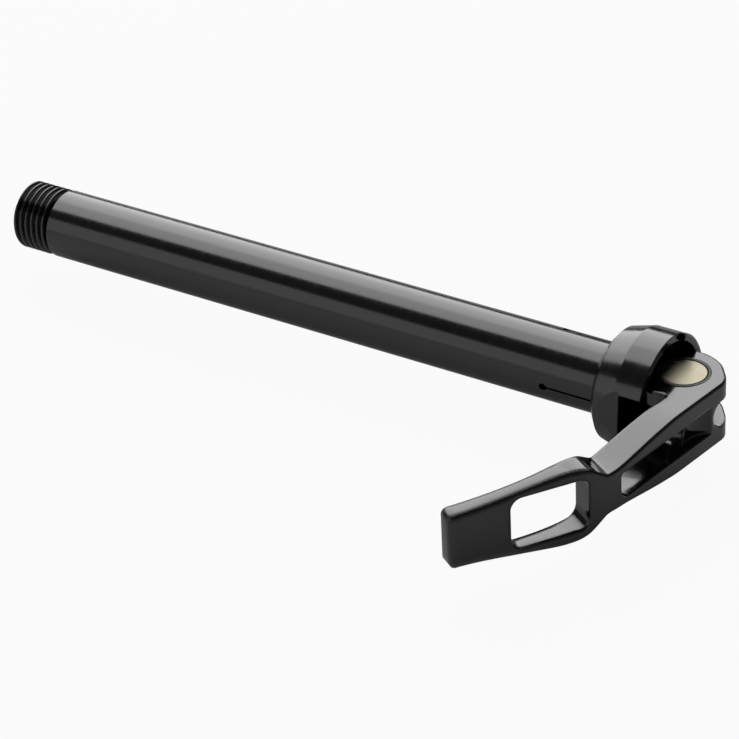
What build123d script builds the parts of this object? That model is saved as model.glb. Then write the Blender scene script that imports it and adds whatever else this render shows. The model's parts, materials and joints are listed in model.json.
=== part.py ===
"""A bicycle thru axle with a cam lever, closed, in millimetres.

X runs along the axle towards the lever, Z along the lever's pivot pin, and the lever points to -Y.
The origin is on the axle's line at the face of the collar that bears on the fork.
The lever turns about the pin. Its cam ears then let the draw rod move, and the expander on the rod
lets go of the slit end of the axle tube.
"""
from build123d import *
from math import cos, hypot, radians, sin
import os

# Axle tube
AXLE_LENGTH = 148.0        # from the collar's seat face to the threaded end
SHANK_D = 15.0
BORE_D = 11.0
MOUTH_D = 9.2              # bore of the slit end, past its taper
TAPER_START = 13.0         # from the seat face back to the taper's wide end
TAPER_LENGTH = 10.0
SPIGOT_D = 14.1            # the tube's end inside the collar
SPIGOT_LENGTH = 2.0
THREAD_LENGTH = 9.0
THREAD_ROOT_D = 13.2
RELIEF_D = 12.8            # turned groove behind the thread
RELIEF_LENGTH = 1.3
END_CHAMFER = 0.7

# Slits that let the tube's end spread
SLIT_COUNT = 3
SLIT_WIDTH = 0.55
SLIT_REACH = 12.6          # from the seat face back to the round hole's centre
KEYHOLE_D = 1.7
SLIT_TURN = 8.5            # degrees below -Y of the first slit

# Collar: a seat ring and a cup for the cam ears
CUP_GAP = 0.1              # beyond the corners of the ears
CUP_WALL = 1.65
CUP_LEDGE = 2.2            # from the cup's wall in to the well
RIM_EDGE = 0.45
SEAT_CONE = 1.6            # by which the seat ring widens from the seat to the shoulder
SEAT_CHAMFER = 1.3
BORE_CHAMFER = 0.5         # clears the shank's shoulder
SHOULDER_X = 6.0           # where the seat ring's cone ends and the cup's wall starts
CUP_RIM_X = 12.0
TALL_RIM_X = 13.0          # the wall opposite the slot stands higher
TALL_HALF_ANGLE = 71.5
CUP_FLOOR_X = 7.2
WEB_BACK_X = 2.3
WEB_FRONT_X = 3.8
WASHER_THICKNESS = 0.6     # of the bearing washer on the web
COLLAR_TURN = 4.9          # degrees that the collar is turned about the axle from the lever
FLAT_DEPTH = 0.9           # of the flat beside the slot
NOTCH_HALF_ANGLE = 19.0
SAW_CUT = 0.4
SAW_DEPTH = 2.2

# Lever
PIVOT_X = 15.4
EAR_HALF_WIDTH = 6.65
CAM_LOW = 8.0              # pin's centre to the cam's flank at the low end
CAM_LOW_ANGLE = 35.0
CAM_RISE = 0.65            # mm of lift for each radian turned
CAM_END_ANGLE = 190.0
CLEAR_OF_CAM = 1.2         # how far the cuts and blanks reach, as a share of the cam's greatest radius
CAM_STEPS = 12
HEEL_X = 16.3              # where the cam's back runs into the arm
HEEL_Y = -9.15
EAR_GAP = 5.8
WEB_INNER_R = 6.2
WEB_END_ANGLE = -3.2       # degrees about the pin, measured from +X
WINDOW_START_Y = -9.6
WINDOW_END_Y = -33.0
WINDOW_WIDTH = 6.0
WINDOW_START_CORNER = 0.8
WINDOW_END_CORNER = 2.6
SCALLOP_R = 6.0            # hollow that leads from the arm's outer face into the window
SCALLOP_X = 26.5
SCALLOP_Y = -9.25
ARM_OUTER_TOP_X = 24.1     # the arm's straight outer face
ARM_OUTER_TOP_Y = -0.6
ARM_OUTER_END_X = 19.5
ARM_OUTER_END_Y = -33.0
ARM_INNER_END_X = 12.65    # the arm's straight inner face ends here
ARM_INNER_END_Y = -31.0
ARM_TAPER_START_Y = -13.5
ARM_END_Y = -36.5
THROAT_INNER_X = 11.75
THROAT_INNER_Y = -37.4
THROAT_HALF_WIDTH = 4.45
HANDLE_TILT = 33.5         # degrees between the handle and the arm's square line
HANDLE_FACE = 36.5         # from the origin to the handle's outer face, square to it
HANDLE_DEPTH = 12.0        # deeper than the lever is anywhere
NECK_AT = 18.9             # distances along the handle
FACE_START = 28.0
SHOULDER_AT = 27.8
THICK_AT = 30.2
THIN_AT = 38.0
HANDLE_END = 53.8
NECK_HALF_WIDTH = 4.0
SHOULDER_HALF_WIDTH = 8.1
TIP_HALF_WIDTH = 6.0
THICK = 4.45               # the handle's thickness at those distances and at its end
THIN = 3.65
TIP_THICK = 3.95
HOLE_START = 24.4
HOLE_END = 41.1
HOLE_HALF_WIDTH = 5.75
HOLE_CORNER = 2.4
TIP_CORNER = 1.3
LEVER_EDGE = 0.4

# Pivot pin, rod and wedge
PIN_D = 9.7
PIN_LENGTH = 13.3
BUSH_WALL = 0.4
ROD_D = 5.0
ROD_PAST_PIVOT = 3.4
HEX_KEY = 2.5
HEX_DEPTH = 4.0
EXPANDER_LENGTH = 9.5
EXPANDER_TIP_X = -4.5
NUT_LENGTH = 2.6
NUT_WIDTH = 8.0
ROD_PAST_NUT = 1.0

# Clearances and small edges
RUNNING = 0.05
CAM_GAP = 0.1
WEDGE_GAP = 0.1
ROD_HOLE_GAP = 0.3
SMALL_EDGE = 0.3

cup_r = hypot(HEEL_Y, EAR_HALF_WIDTH) + CUP_GAP
well_r = cup_r - CUP_LEDGE
collar_r = cup_r + CUP_WALL
bore_r = BORE_D / 2
shank_r = SHANK_D / 2
spigot_r = SPIGOT_D / 2
pin_r = PIN_D / 2
rod_r = ROD_D / 2
pivot = Vector(PIVOT_X, 0, 0)


def cam_radius(angle):
    """Distance from the pin's centre to the cam's tangent line square to this direction."""
    return CAM_LOW + CAM_RISE * radians(angle - CAM_LOW_ANGLE)


def cam_point(angle):
    """Point of the cam whose tangent is square to this direction: an involute of a small circle."""
    reach = cam_radius(angle)
    a = radians(angle)
    return (
        PIVOT_X + reach * cos(a) - CAM_RISE * sin(a),
        reach * sin(a) + CAM_RISE * cos(a),
    )


# The plane on which the cam bears, and the parts stacked under it
cam_seat_x = PIVOT_X - cam_radius(180) - CAM_GAP
past_ears = CLEAR_OF_CAM * cam_radius(CAM_END_ANGLE)
pad_back_x = WEB_FRONT_X + WASHER_THICKNESS + RUNNING

# Axle tube: a turned section, then three keyhole slits
taper_end_x = -TAPER_START + TAPER_LENGTH
with BuildPart() as axle_tube:
    with BuildSketch(Plane.XY):
        with BuildLine():
            Polyline(
                (-AXLE_LENGTH, bore_r),
                (-AXLE_LENGTH, THREAD_ROOT_D / 2 - END_CHAMFER),
                (-AXLE_LENGTH + END_CHAMFER, THREAD_ROOT_D / 2),
                (-AXLE_LENGTH + THREAD_LENGTH, THREAD_ROOT_D / 2),
                (-AXLE_LENGTH + THREAD_LENGTH, RELIEF_D / 2),
                (-AXLE_LENGTH + THREAD_LENGTH + RELIEF_LENGTH, RELIEF_D / 2),
                (-AXLE_LENGTH + THREAD_LENGTH + RELIEF_LENGTH, shank_r),
                (0, shank_r),
                (0, spigot_r),
                (SPIGOT_LENGTH, spigot_r),
                (SPIGOT_LENGTH, MOUTH_D / 2),
                (taper_end_x, MOUTH_D / 2),
                (-TAPER_START, bore_r),
                close=True,
            )
        make_face()
    revolve(axis=Axis.X)
    for index in range(SLIT_COUNT):
        turn = 180 + SLIT_TURN + index * 360 / SLIT_COUNT
        outward = Vector(0, cos(radians(turn)), sin(radians(turn)))
        with BuildSketch(Plane(origin=(0, 0, 0), x_dir=(1, 0, 0), z_dir=outward)):
            with Locations((-SLIT_REACH, 0)):
                Circle(KEYHOLE_D / 2)
            with Locations(((SPIGOT_LENGTH - SLIT_REACH) / 2, 0)):
                Rectangle(SPIGOT_LENGTH + SLIT_REACH, SLIT_WIDTH)
        extrude(amount=SHANK_D, mode=Mode.SUBTRACT)
axle_tube.part.label = "axle_tube"

# Collar: turned, then the flat, the slot for the lever and the sawn relief
slot_angle = 180 - COLLAR_TURN
slot_out = Vector(0, cos(radians(slot_angle)), sin(radians(slot_angle)))
with BuildPart() as collar:
    with BuildSketch(Plane.XY):
        with BuildLine():
            Polyline(
                (0, spigot_r + RUNNING + BORE_CHAMFER),
                (0, collar_r - SEAT_CONE),
                (SHOULDER_X, collar_r),
                (TALL_RIM_X - RIM_EDGE, collar_r),
                (TALL_RIM_X, collar_r - RIM_EDGE),
                (TALL_RIM_X, cup_r + SMALL_EDGE),
                (TALL_RIM_X - SMALL_EDGE, cup_r),
                (CUP_FLOOR_X, cup_r),
                (CUP_FLOOR_X, well_r),
                (WEB_FRONT_X, well_r),
                (WEB_FRONT_X, rod_r + ROD_HOLE_GAP),
                (WEB_BACK_X, rod_r + ROD_HOLE_GAP),
                (WEB_BACK_X, spigot_r + RUNNING),
                (BORE_CHAMFER, spigot_r + RUNNING),
                close=True,
            )
        make_face()
    revolve(axis=Axis.X)
    seat_edge = collar.edges().filter_by(GeomType.CIRCLE).group_by(Axis.X)[0].sort_by(SortBy.RADIUS)[-1]
    chamfer(seat_edge, length=SEAT_CHAMFER)
    # The wall is lower on the slot's side, with a saw cut where the tall part starts
    low_start = slot_angle - 180 + TALL_HALF_ANGLE
    low_sweep = 360 - 2 * TALL_HALF_ANGLE
    with BuildSketch(Plane.YZ.offset(CUP_RIM_X)):
        with BuildLine():
            rim_arc = CenterArc((0, 0), 2 * collar_r, low_start, low_sweep)
            Polyline(rim_arc @ 1, (0, 0), rim_arc @ 0)
        make_face()
    extrude(amount=TALL_RIM_X, mode=Mode.SUBTRACT)
    with BuildSketch(Plane.YZ.offset(TALL_RIM_X - SAW_DEPTH)):
        with Locations(Location((0, 0), low_start), Location((0, 0), low_start + low_sweep)):
            Rectangle(2 * collar_r, SAW_CUT, align=(Align.MIN, Align.CENTER))
    extrude(amount=SAW_DEPTH, mode=Mode.SUBTRACT)
    # Flat on the slot's side of the seat ring
    flat_middle = slot_out * (collar_r - FLAT_DEPTH)
    with BuildSketch(Plane(origin=flat_middle, x_dir=(1, 0, 0), z_dir=slot_out)):
        with Locations((CUP_FLOOR_X / 2, 0)):
            Rectangle(CUP_FLOOR_X, 2 * collar_r)
    extrude(amount=collar_r, mode=Mode.SUBTRACT)
    # Slot through the cup's wall
    slot_half_width = collar_r * sin(radians(NOTCH_HALF_ANGLE))
    with BuildSketch(Plane(origin=slot_out * well_r, x_dir=(1, 0, 0), z_dir=slot_out)):
        with Locations(((CUP_FLOOR_X + TALL_RIM_X) / 2, 0)):
            Rectangle(TALL_RIM_X - CUP_FLOOR_X, 2 * slot_half_width)
    extrude(amount=collar_r, mode=Mode.SUBTRACT)
collar.part.label = "collar"

# Bearing washer between the collar and the cam washer
with BuildPart() as bearing_washer:
    with BuildSketch(Plane.YZ.offset(WEB_FRONT_X)):
        Circle(well_r - CAM_GAP)
        Circle(rod_r + ROD_HOLE_GAP, mode=Mode.SUBTRACT)
    extrude(amount=WASHER_THICKNESS)
bearing_washer.part.label = "bearing_washer"

# Cam washer: a disc with a channel for the two ears, which turns with the lever about the axle
channel_half_width = EAR_HALF_WIDTH + CAM_GAP
with BuildPart() as cam_washer:
    with BuildSketch(Plane.YZ.offset(pad_back_x)):
        Circle(well_r - 2 * CAM_GAP)
        Circle(rod_r + RUNNING, mode=Mode.SUBTRACT)
    extrude(amount=CUP_FLOOR_X - CAM_GAP - pad_back_x)
    with BuildSketch(Plane.YZ.offset(cam_seat_x)):
        Rectangle(2 * well_r, 2 * channel_half_width)
    extrude(amount=CUP_FLOOR_X, mode=Mode.SUBTRACT)
cam_washer.part.label = "cam_washer"

# Draw rod with a hexagon socket in its far end
expander_back_x = EXPANDER_TIP_X - EXPANDER_LENGTH
rod_start_x = expander_back_x - NUT_LENGTH - ROD_PAST_NUT
with BuildPart() as draw_rod:
    with BuildSketch(Plane.YZ.offset(rod_start_x)):
        Circle(rod_r)
    extrude(amount=PIVOT_X + ROD_PAST_PIVOT - rod_start_x)
    chamfer(draw_rod.edges().filter_by(GeomType.CIRCLE), length=SMALL_EDGE)
    with BuildSketch(Plane.YZ.offset(rod_start_x)):
        RegularPolygon(HEX_KEY / 2, 6, major_radius=False)
    extrude(amount=HEX_DEPTH, mode=Mode.SUBTRACT)
draw_rod.part.label = "draw_rod"


def wedge_radius(x):
    """Radius of the expander at x, a gap inside the tube's taper."""
    slope = (bore_r - MOUTH_D / 2) / TAPER_LENGTH
    return min(bore_r, bore_r - slope * (x + TAPER_START)) - WEDGE_GAP


# Expander: a cone on the rod
with BuildPart() as expander:
    with BuildSketch(Plane.XY):
        with BuildLine():
            Polyline(
                (expander_back_x, rod_r),
                (expander_back_x, wedge_radius(expander_back_x) - SMALL_EDGE),
                (expander_back_x + SMALL_EDGE, wedge_radius(expander_back_x)),
                (-TAPER_START, wedge_radius(-TAPER_START)),
                (EXPANDER_TIP_X, wedge_radius(EXPANDER_TIP_X)),
                (EXPANDER_TIP_X, rod_r),
                close=True,
            )
        make_face()
    revolve(axis=Axis.X)
expander.part.label = "expander"

# Nut that locks the expander on the rod
with BuildPart() as expander_nut:
    with BuildSketch(Plane.YZ.offset(expander_back_x - NUT_LENGTH)):
        RegularPolygon(NUT_WIDTH / 2, 6, major_radius=False)
        Circle(rod_r, mode=Mode.SUBTRACT)
    extrude(amount=NUT_LENGTH)
expander_nut.part.label = "expander_nut"

# Pivot pin, cross-drilled for the rod
with BuildPart() as pivot_pin:
    with BuildSketch(Plane.XY.offset(-PIN_LENGTH / 2)):
        with Locations((PIVOT_X, 0)):
            Circle(pin_r)
    extrude(amount=PIN_LENGTH)
    chamfer(pivot_pin.edges().filter_by(GeomType.CIRCLE), length=SMALL_EDGE)
    with BuildSketch(Plane.YZ):
        Circle(rod_r)
    extrude(amount=PIVOT_X + ROD_PAST_PIVOT, mode=Mode.SUBTRACT)
pivot_pin.part.label = "pivot_pin"

# Lever: a plan outline cut to two side outlines, the arm's seen along the axle and the handle's
# seen square to its own face
bush_r = pin_r + RUNNING + BUSH_WALL
web_dir = Vector(cos(radians(WEB_END_ANGLE)), sin(radians(WEB_END_ANGLE)), 0)
tilt = radians(HANDLE_TILT)
handle_dir = Vector(-sin(tilt), -cos(tilt), 0)
handle_out = Vector(cos(tilt), -sin(tilt), 0)
handle_plane = Plane(origin=handle_out * HANDLE_FACE, x_dir=handle_dir, z_dir=handle_out)


def on_handle(along, depth):
    """Plan point at a distance along the handle and a depth behind its outer face."""
    point = handle_out * (HANDLE_FACE - depth) + handle_dir * along
    return (point.X, point.Y)


def between(start, end, shares):
    """Points that are these shares of the way from start to end, along and across."""
    return [
        (start[0] + along * (end[0] - start[0]), start[1] + across * (end[1] - start[1]))
        for along, across in shares
    ]


ear_side = (ARM_TAPER_START_Y, EAR_HALF_WIDTH)
arm_end = (ARM_END_Y, THROAT_HALF_WIDTH)
neck = (NECK_AT, NECK_HALF_WIDTH)
shoulder = (SHOULDER_AT, SHOULDER_HALF_WIDTH)
tip = (HANDLE_END, TIP_HALF_WIDTH)
with BuildPart() as lever_sides:
    with BuildSketch(Plane.YZ):
        with BuildLine():
            Polyline((past_ears, 0), (past_ears, EAR_HALF_WIDTH), ear_side)
            Spline(
                ear_side, *between(ear_side, arm_end, [(0.28, 0.2), (0.54, 0.55), (0.76, 0.87)]), arm_end,
                tangents=[(-1, 0), (-1, 0)],
            )
            Line(arm_end, (ARM_END_Y, 0))
            mirror(about=Plane.XZ)
        make_face()
    extrude(amount=PIVOT_X + past_ears)
    with BuildSketch(handle_plane) as handle_side:
        with BuildLine():
            Line((NECK_AT, 0), neck)
            Spline(
                neck, *between(neck, shoulder, [(0.3, 0.34), (0.62, 0.81)]),
                shoulder, *between(shoulder, tip, [(0.24, 0.16), (0.58, 0.66)]), tip,
            )
            Line(tip, (HANDLE_END, 0))
            mirror(about=Plane.XZ)
        make_face()
        fillet(handle_side.vertices().group_by(Axis.X)[-1], radius=TIP_CORNER)
    extrude(amount=-HANDLE_DEPTH)

outer_top = Vector(ARM_OUTER_TOP_X, ARM_OUTER_TOP_Y)
outer_end = Vector(ARM_OUTER_END_X, ARM_OUTER_END_Y)
heel = Vector(HEEL_X, HEEL_Y)
inner_end = Vector(ARM_INNER_END_X, ARM_INNER_END_Y)
with BuildPart() as lever:
    with BuildSketch(Plane.XY.offset(-HANDLE_DEPTH)):
        with BuildLine():
            cam_sweep = CAM_END_ANGLE - CAM_LOW_ANGLE
            cam_edge = Spline(
                *[cam_point(CAM_LOW_ANGLE + i * cam_sweep / CAM_STEPS) for i in range(CAM_STEPS + 1)]
            )
            Spline(outer_top, cam_edge @ 0, tangents=[outer_top - outer_end, cam_edge % 0])
            TangentArc(cam_edge @ 1, heel, tangent=cam_edge % 1)
            Line(heel, inner_end)
            Spline(
                inner_end, (THROAT_INNER_X, THROAT_INNER_Y), on_handle(THICK_AT, THICK),
                on_handle(THIN_AT, THIN), on_handle(HANDLE_END, TIP_THICK),
                tangents=[inner_end - heel, handle_dir],
            )
            Polyline(
                on_handle(HANDLE_END, TIP_THICK), on_handle(HANDLE_END, 0), on_handle(FACE_START, 0)
            )
            Spline(
                on_handle(FACE_START, 0), outer_end, tangents=[-handle_dir, outer_top - outer_end]
            )
            Line(outer_end, outer_top)
        make_face()
    extrude(amount=2 * HANDLE_DEPTH)
    add(lever_sides.part, mode=Mode.INTERSECT)
    chamfer(lever.edges(), length=LEVER_EDGE)

    # Gap between the ears, closed on the outside by a short web with a round end
    with BuildSketch(Plane.XY.offset(-EAR_GAP / 2)):
        with Locations((PIVOT_X, WINDOW_START_Y)):
            Rectangle(2 * past_ears, 2 * past_ears, align=(Align.CENTER, Align.MIN))
        with BuildLine():
            web_end = pivot + web_dir * 2 * past_ears
            Polyline(
                (PIVOT_X, 0), (web_end.X, web_end.Y),
                (web_end.X, -2 * past_ears), (PIVOT_X, -2 * past_ears),
                close=True,
            )
        make_face(mode=Mode.SUBTRACT)
        with Locations((PIVOT_X, 0)):
            Circle(WEB_INNER_R)
    extrude(amount=EAR_GAP, mode=Mode.SUBTRACT)
    with BuildSketch(Plane(origin=pivot, z_dir=web_dir)):
        Circle(EAR_GAP / 2)
    extrude(amount=2 * past_ears, mode=Mode.SUBTRACT)

    # Window between the arms
    with BuildSketch(Plane.YZ) as window:
        with Locations(((WINDOW_START_Y + WINDOW_END_Y) / 2, 0)):
            Rectangle(WINDOW_START_Y - WINDOW_END_Y, WINDOW_WIDTH)
        fillet(window.vertices().group_by(Axis.Y)[0], radius=WINDOW_END_CORNER)
        fillet(window.vertices().group_by(Axis.Y)[-1], radius=WINDOW_START_CORNER)
    extrude(amount=PIVOT_X + past_ears, mode=Mode.SUBTRACT)

    with BuildSketch(Plane.XY.offset(-WINDOW_WIDTH / 2)):
        with Locations((SCALLOP_X, SCALLOP_Y)):
            Circle(SCALLOP_R)
    extrude(amount=WINDOW_WIDTH, mode=Mode.SUBTRACT)

    # Finger hole in the handle
    with BuildSketch(handle_plane) as hole:
        with Locations(((HOLE_START + HOLE_END) / 2, 0)):
            RectangleRounded(HOLE_END - HOLE_START, 2 * HOLE_HALF_WIDTH, HOLE_CORNER)
    extrude(amount=HANDLE_DEPTH, both=True, mode=Mode.SUBTRACT)

    # Pin hole, wide enough for a bush in each ear
    with BuildSketch(Plane.XY.offset(-EAR_HALF_WIDTH)):
        with Locations((PIVOT_X, 0)):
            Circle(bush_r)
    extrude(amount=2 * EAR_HALF_WIDTH, mode=Mode.SUBTRACT)
lever.part.label = "lever"

# Bushes between the ears and the pin
bush_length = EAR_HALF_WIDTH - EAR_GAP / 2
with BuildPart() as upper_bush:
    with BuildSketch(Plane.XY.offset(EAR_GAP / 2)):
        with Locations((PIVOT_X, 0)):
            Circle(bush_r)
            Circle(pin_r + RUNNING, mode=Mode.SUBTRACT)
    extrude(amount=bush_length)
upper_bush.part.label = "upper_bush"
with BuildPart() as lower_bush:
    add(upper_bush.part)
    mirror(about=Plane.XY, mode=Mode.REPLACE)
lower_bush.part.label = "lower_bush"

os.makedirs("parts", exist_ok=True)
for piece in (
    axle_tube, collar, bearing_washer, cam_washer, draw_rod, expander, expander_nut, pivot_pin,
    lever, upper_bush, lower_bush,
):
    export_step(piece.part, f"parts/{piece.part.label}.step")
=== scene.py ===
import bpy
import json
from math import cos, pi, radians, sin, sqrt
from mathutils import Matrix, Vector


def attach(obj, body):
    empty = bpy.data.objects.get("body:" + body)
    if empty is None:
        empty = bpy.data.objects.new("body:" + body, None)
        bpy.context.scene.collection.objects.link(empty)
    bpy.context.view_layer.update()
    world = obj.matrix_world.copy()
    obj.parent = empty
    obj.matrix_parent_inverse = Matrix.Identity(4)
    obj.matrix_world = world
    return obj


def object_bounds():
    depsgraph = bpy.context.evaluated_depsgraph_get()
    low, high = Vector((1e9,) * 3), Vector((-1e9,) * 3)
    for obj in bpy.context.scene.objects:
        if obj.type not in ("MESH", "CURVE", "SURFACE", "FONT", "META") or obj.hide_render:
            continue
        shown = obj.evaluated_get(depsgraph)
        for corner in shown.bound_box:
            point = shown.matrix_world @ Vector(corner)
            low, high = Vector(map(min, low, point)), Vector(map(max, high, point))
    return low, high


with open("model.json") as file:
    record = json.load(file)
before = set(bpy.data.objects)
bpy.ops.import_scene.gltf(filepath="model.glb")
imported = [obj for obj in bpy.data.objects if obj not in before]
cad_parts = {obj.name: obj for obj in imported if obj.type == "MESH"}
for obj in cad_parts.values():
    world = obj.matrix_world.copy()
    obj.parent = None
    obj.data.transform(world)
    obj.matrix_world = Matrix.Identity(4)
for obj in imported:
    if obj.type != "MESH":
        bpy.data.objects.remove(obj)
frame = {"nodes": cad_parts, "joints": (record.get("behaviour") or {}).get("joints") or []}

cad_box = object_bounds()
scene = bpy.context.scene
nodes = frame["nodes"]
pivot = next(joint["pos_m"] for joint in frame["joints"] if joint["name"] == "lever_pivot")

# Camera at the photograph's angle, in degrees: azimuth 0 looks along +Y and 90 along -X
AZIMUTH = 34.14
ELEVATION = 31.58
ROLL = -2.97
DISTANCE = 0.6807
PICTURE_MIDDLE = (-0.05925, 0.0, -0.01474)
LENS = 156.9
SENSOR_WIDTH = 36.0
camera_data = bpy.data.cameras.new("camera")
camera_data.lens = LENS
camera_data.sensor_width = SENSOR_WIDTH
camera_data.clip_start = 0.05
camera_data.clip_end = 50.0
camera = bpy.data.objects.new("camera", camera_data)
scene.collection.objects.link(camera)
turn = (
    Matrix.Rotation(radians(AZIMUTH), 4, "Z")
    @ Matrix.Rotation(radians(90.0 - ELEVATION), 4, "X")
    @ Matrix.Rotation(radians(ROLL), 4, "Z")
)
back_off = Matrix.Translation((0.0, 0.0, DISTANCE))
camera.matrix_world = Matrix.Translation(PICTURE_MIDDLE) @ turn @ back_off
ahead = turn.to_3x3() @ Vector((0.0, 0.0, -1.0))
scene.camera = camera
scene.view_settings.view_transform = "Standard"


# Materials
NOISE_LOW = 0.3
NOISE_HIGH = 0.7
BEVEL_SAMPLES = 8


class Nodes:
    """A material's node tree with short ways to add and link nodes."""

    def __init__(self, name, color, roughness, metallic=0.0, **sockets):
        self.material = bpy.data.materials.new(name)
        self.material.use_nodes = True
        self.tree = self.material.node_tree
        self.shader = self.tree.nodes["Principled BSDF"]
        self.shader.inputs["Base Color"].default_value = (*color, 1.0)
        self.shader.inputs["Roughness"].default_value = roughness
        self.shader.inputs["Metallic"].default_value = metallic
        for socket, value in sockets.items():
            self.shader.inputs[socket].default_value = value

    def add(self, kind, **values):
        """A new node whose sockets or settings of these names have these values."""
        node = self.tree.nodes.new(kind)
        for name, value in values.items():
            if name in node.inputs:
                node.inputs[name].default_value = value
            else:
                setattr(node, name, value)
        return node

    def link(self, start, end):
        self.tree.links.new(start, end)

    def place(self):
        """The point's place in the frame at rest, in metres."""
        return self.add("ShaderNodeTexCoord").outputs["Object"]

    def noise(self, scale, detail=2.0, round_axle=None):
        """Noise with this many waves a metre, drawn out round the axle where that share is given."""
        place = self.place()
        if round_axle:
            mapping = self.add("ShaderNodeMapping", Scale=(1.0, round_axle, round_axle))
            self.link(place, mapping.inputs["Vector"])
            place = mapping.outputs["Vector"]
        noise = self.add("ShaderNodeTexNoise", Scale=scale, Detail=detail)
        self.link(place, noise.inputs["Vector"])
        return noise.outputs["Fac"]

    def ramp(self, value, start, end, low, high):
        """low where value is start, high where it is end, and even between them."""
        ramp = self.add("ShaderNodeMapRange")
        ramp.inputs["From Min"].default_value = start
        ramp.inputs["From Max"].default_value = end
        ramp.inputs["To Min"].default_value = low
        ramp.inputs["To Max"].default_value = high
        self.link(value, ramp.inputs["Value"])
        return ramp.outputs["Result"]

    def rough(self, noise, low, high):
        """Roughness that wanders between low and high."""
        roughness = self.ramp(noise, NOISE_LOW, NOISE_HIGH, low, high)
        self.link(roughness, self.shader.inputs["Roughness"])

    def product(self, first, second):
        node = self.add("ShaderNodeMath", operation="MULTIPLY")
        self.link(first, node.inputs[0])
        self.link(second, node.inputs[1])
        return node.outputs[0]

    def bump(self, relief, height, rounding=None, crown=None):
        """Relief of this height, on a crown, with edges rounded by a radius or a socket."""
        bump = self.add("ShaderNodeBump", Distance=height)
        self.link(relief, bump.inputs["Height"])
        lowest = bump
        if crown:
            lowest = self.add("ShaderNodeBump", Distance=1.0)
            self.link(crown, lowest.inputs["Height"])
            self.link(lowest.outputs["Normal"], bump.inputs["Normal"])
        if rounding:
            bevel = self.add("ShaderNodeBevel", samples=BEVEL_SAMPLES)
            if isinstance(rounding, float):
                bevel.inputs["Radius"].default_value = rounding
            else:
                self.link(rounding, bevel.inputs["Radius"])
            self.link(bevel.outputs["Normal"], lowest.inputs["Normal"])
        self.link(bump.outputs["Normal"], self.shader.inputs["Normal"])


# The dyed oxide skin of the shaft, the collar and the lever
OXIDE_BLACK = (0.003, 0.003, 0.003)
OXIDE_IOR = 1.77

# Radii in the shading: of turned edges, of the lever's arm and of its handle
TURNED_EDGE_R = 0.0003
ARM_EDGE_R = 0.0008
HANDLE_EDGE_R = 0.0022

# The arm's finish gives way to the handle's between these two places along the lever
ARM_END_Y = -0.038
HANDLE_START_Y = -0.043

# The handle's plate is crowned across: it falls by this times the square of the way from Z = 0
PLATE_CROWN = 9.0


def anodised():
    """Black anodised turned aluminium: a satin gloss with faint turning marks."""
    m = Nodes("black_anodised", OXIDE_BLACK, 0.2, IOR=OXIDE_IOR)
    m.rough(m.noise(900.0, round_axle=0.04), low=0.14, high=0.19)
    m.bump(m.noise(5000.0, round_axle=0.02), height=0.000002, rounding=TURNED_EDGE_R)
    return m.material


def gloss_black():
    """Polished and anodised forging: a deep gloss with a slightly uneven skin."""
    m = Nodes("black_gloss", OXIDE_BLACK, 0.1, IOR=OXIDE_IOR)
    m.rough(m.noise(400.0), low=0.08, high=0.14)
    apart = m.add("ShaderNodeSeparateXYZ")
    m.link(m.place(), apart.inputs[0])
    along = apart.outputs["Y"]
    across = apart.outputs["Z"]
    rounding = m.ramp(along, ARM_END_Y, HANDLE_START_Y, ARM_EDGE_R, HANDLE_EDGE_R)
    fall = m.ramp(along, ARM_END_Y, HANDLE_START_Y, 0.0, -PLATE_CROWN)
    crown = m.product(m.product(across, across), fall)
    m.bump(m.noise(350.0, detail=1.0), height=0.00002, rounding=rounding, crown=crown)
    return m.material


def pin_metal():
    """Champagne pin with a faced end: fine rings about the line that the lever turns on."""
    m = Nodes("champagne_metal", (0.3, 0.278, 0.208), 0.45, metallic=1.0)
    from_line = m.add("ShaderNodeVectorMath", operation="SUBTRACT")
    from_line.inputs[1].default_value = pivot
    m.link(m.place(), from_line.inputs[0])
    flat = m.add("ShaderNodeVectorMath", operation="MULTIPLY")
    flat.inputs[1].default_value = (1.0, 1.0, 0.0)
    m.link(from_line.outputs["Vector"], flat.inputs[0])
    radius = m.add("ShaderNodeVectorMath", operation="LENGTH")
    m.link(flat.outputs["Vector"], radius.inputs[0])
    rings = m.add("ShaderNodeTexNoise", noise_dimensions="1D", Scale=9000.0, Detail=3.0)
    m.link(radius.outputs["Value"], rings.inputs["W"])
    m.bump(rings.outputs["Fac"], height=0.000004)
    m.rough(m.noise(600.0), low=0.4, high=0.5)
    return m.material


def turned_metal(name, color, low, high):
    """Plain turned metal with marks round the axle's line."""
    m = Nodes(name, color, low, metallic=1.0)
    m.rough(m.noise(3000.0, round_axle=0.05), low, high)
    m.bump(m.noise(6000.0, round_axle=0.03), height=0.000003)
    return m.material


def moulded(name, color):
    """Matt moulded plastic with a fine grain."""
    m = Nodes(name, color, 0.5)
    m.rough(m.noise(1500.0), low=0.42, high=0.55)
    m.bump(m.noise(4000.0), height=0.00001)
    return m.material


black_anodised = anodised()
black_gloss = gloss_black()
plastic = moulded("black_plastic", (0.012, 0.012, 0.012))
champagne = pin_metal()
brass = turned_metal("brass", (0.72, 0.52, 0.24), low=0.3, high=0.42)
dark_steel = turned_metal("dark_steel", (0.16, 0.16, 0.17), low=0.3, high=0.42)
plain_aluminium = turned_metal("plain_aluminium", (0.7, 0.7, 0.72), low=0.25, high=0.36)
finish = {
    "axle_tube": black_anodised,
    "collar": black_anodised,
    "lever": black_gloss,
    "pivot_pin": champagne,
    "bearing_washer": brass,
    "draw_rod": dark_steel,
    "expander": plain_aluminium,
    "expander_nut": dark_steel,
    "cam_washer": plastic,
    "upper_bush": plastic,
    "lower_bush": plastic,
}
for name, material in finish.items():
    node = nodes[name]
    node.data.materials.clear()
    node.data.materials.append(material)

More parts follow.
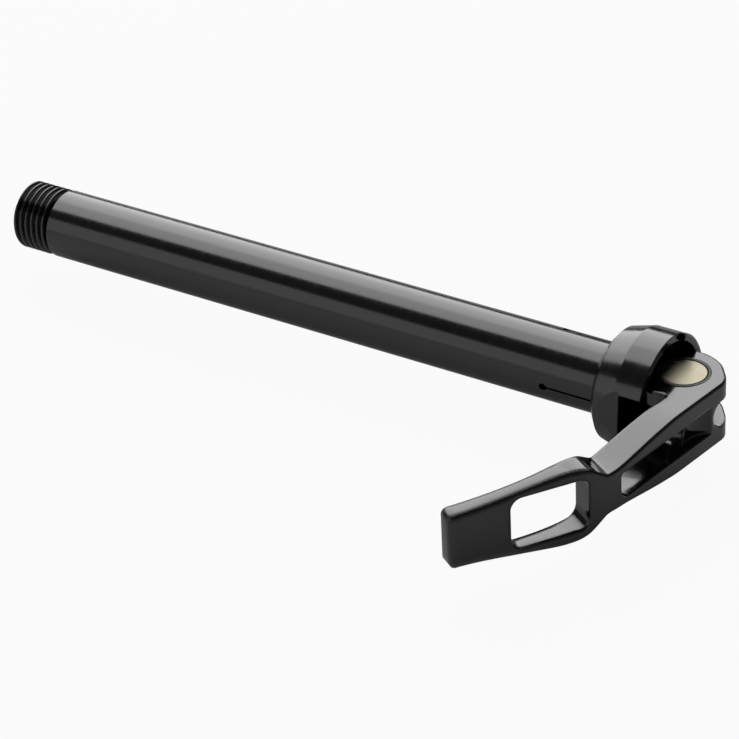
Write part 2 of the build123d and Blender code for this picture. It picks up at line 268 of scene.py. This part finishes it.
# Thread at the far end: a ridge that winds round the tube's core and fades at both ends
PITCH = 0.0015
CORE_R = 0.0066
CREST_R = 0.00745
START_FROM_TUBE_END = 0.0007
RIDGE_LENGTH = 0.0086
STEPS_A_TURN = 72
FADE_STEPS = 10

# The ridge's section: half its width at the root, the shoulder and the flat crest
ROOT_HALF = 0.00066
SHOULDER_HALF = 0.00016
CREST_HALF = 0.0001
SHOULDER_DROP = 0.00003
ROOT_SINK = 0.00005


def ridge():
    """The ridge's points and faces, one section a step."""
    start_x = cad_box[0].x + START_FROM_TUBE_END
    steps = int(RIDGE_LENGTH / PITCH * STEPS_A_TURN)
    verts = []
    faces = []
    for step in range(steps + 1):
        angle = 2 * pi * step / STEPS_A_TURN
        middle = start_x + PITCH * step / STEPS_A_TURN
        fade = min(1.0, step / FADE_STEPS, (steps - step) / FADE_STEPS)
        crest = CORE_R + (CREST_R - CORE_R) * fade
        flank = [
            (ROOT_HALF, CORE_R - ROOT_SINK), (SHOULDER_HALF, crest - SHOULDER_DROP), (CREST_HALF, crest),
        ]
        section = [(-half, radius) for half, radius in flank] + flank[::-1]
        for along, radius in section:
            verts.append((middle + along, radius * cos(angle), radius * sin(angle)))
        if step:
            count = len(section)
            for side in range(count - 1):
                corner = (step - 1) * count + side
                faces.append((corner, corner + 1, corner + 1 + count, corner + count))
    return verts, faces


verts, faces = ridge()
thread_mesh = bpy.data.meshes.new("thread_ridge")
thread_mesh.from_pydata(verts, [], faces)
thread_mesh.materials.append(black_anodised)
thread = bpy.data.objects.new("thread_ridge", thread_mesh)
scene.collection.objects.link(thread)
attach(thread, "axle")


def seen(tree, others, camera, mirror):
    """One value for rays from the camera, one for those off gloss or through glass, one for others."""
    path = tree.nodes.new("ShaderNodeLightPath")
    total = None
    for ray, share in (("Camera", camera), ("Glossy", mirror), ("Transmission", mirror)):
        step = tree.nodes.new("ShaderNodeMath")
        step.operation = "MULTIPLY_ADD"
        step.inputs[1].default_value = share - others
        step.inputs[2].default_value = others
        tree.links.new(path.outputs[f"Is {ray} Ray"], step.inputs[0])
        if total:
            tree.links.new(total, step.inputs[2])
        total = step.outputs[0]
    return total


# Floor: nearly white to the camera with the object's shadow, and grey to the light
FLOOR_GAP = 0.00004
FLOOR_SIZE = 12.0
FLOOR_GREY = (0.42, 0.42, 0.42, 1.0)
floor_z = cad_box[0].z - FLOOR_GAP
half = FLOOR_SIZE / 2
floor_mesh = bpy.data.meshes.new("floor")
floor_mesh.from_pydata(
    [(-half, -half, floor_z), (half, -half, floor_z), (half, half, floor_z), (-half, half, floor_z)],
    [], [(0, 1, 2, 3)],
)
floor = bpy.data.objects.new("floor", floor_mesh)
scene.collection.objects.link(floor)
paint = bpy.data.materials.new("floor")
paint.use_nodes = True
tree = paint.node_tree
tree.nodes.clear()
output = tree.nodes.new("ShaderNodeOutputMaterial")
mix = tree.nodes.new("ShaderNodeMixShader")
diffuse = tree.nodes.new("ShaderNodeBsdfDiffuse")
diffuse.inputs["Color"].default_value = FLOOR_GREY
glow = tree.nodes.new("ShaderNodeEmission")
tree.links.new(seen(tree, others=0.0, camera=0.94, mirror=0.06), mix.inputs[0])
tree.links.new(diffuse.outputs[0], mix.inputs[1])
tree.links.new(glow.outputs[0], mix.inputs[2])
tree.links.new(mix.outputs[0], output.inputs["Surface"])
floor_mesh.materials.append(paint)

# World: white to the camera, dim around the object
world = bpy.data.worlds.new("studio")
scene.world = world
world.use_nodes = True
tree = world.node_tree
back = tree.nodes["Background"]
back.inputs["Color"].default_value = (1.0, 1.0, 1.0, 1.0)
tree.links.new(seen(tree, others=0.05, camera=1.0, mirror=0.06), back.inputs["Strength"])

# Lamps stand where the shaft mirrors them to the camera, all aimed near the object's middle
LAMP_WIDTH = 1.2
LAMP_TARGET = Vector((-0.05, -0.02, 0.0))


def softbox(name, angle, height, radiance, distance=1.0):
    """A box at this angle round the axle: 0 level behind it, 90 above it, 180 level in front.

    A shaft along X mirrors a ray without changing its X, so every box has the line of sight's X.
    """
    sideways = sqrt(1.0 - ahead.x ** 2)
    aim = Vector((ahead.x, sideways * cos(radians(angle)), sideways * sin(radians(angle))))
    across = (Vector((1, 0, 0)) - aim.x * aim).normalized()
    data = bpy.data.lights.new(name, "AREA")
    data.shape = "RECTANGLE"
    data.size = LAMP_WIDTH
    data.size_y = height
    data.energy = radiance * pi * LAMP_WIDTH * height
    lamp = bpy.data.objects.new(name, data)
    scene.collection.objects.link(lamp)
    turned = Matrix((across, aim.cross(across), aim)).transposed().to_4x4()
    lamp.matrix_world = Matrix.Translation(LAMP_TARGET + aim * distance) @ turned


# No box covers the angles below 20 degrees and from 98 to 146, so the shaft mirrors black there
softbox("overhead", angle=59.03, height=1.64, radiance=2.2)
softbox("behind", angle=43.99, height=0.93, radiance=0.78, distance=1.05)
softbox("front", angle=163.05, height=0.6, radiance=0.56)
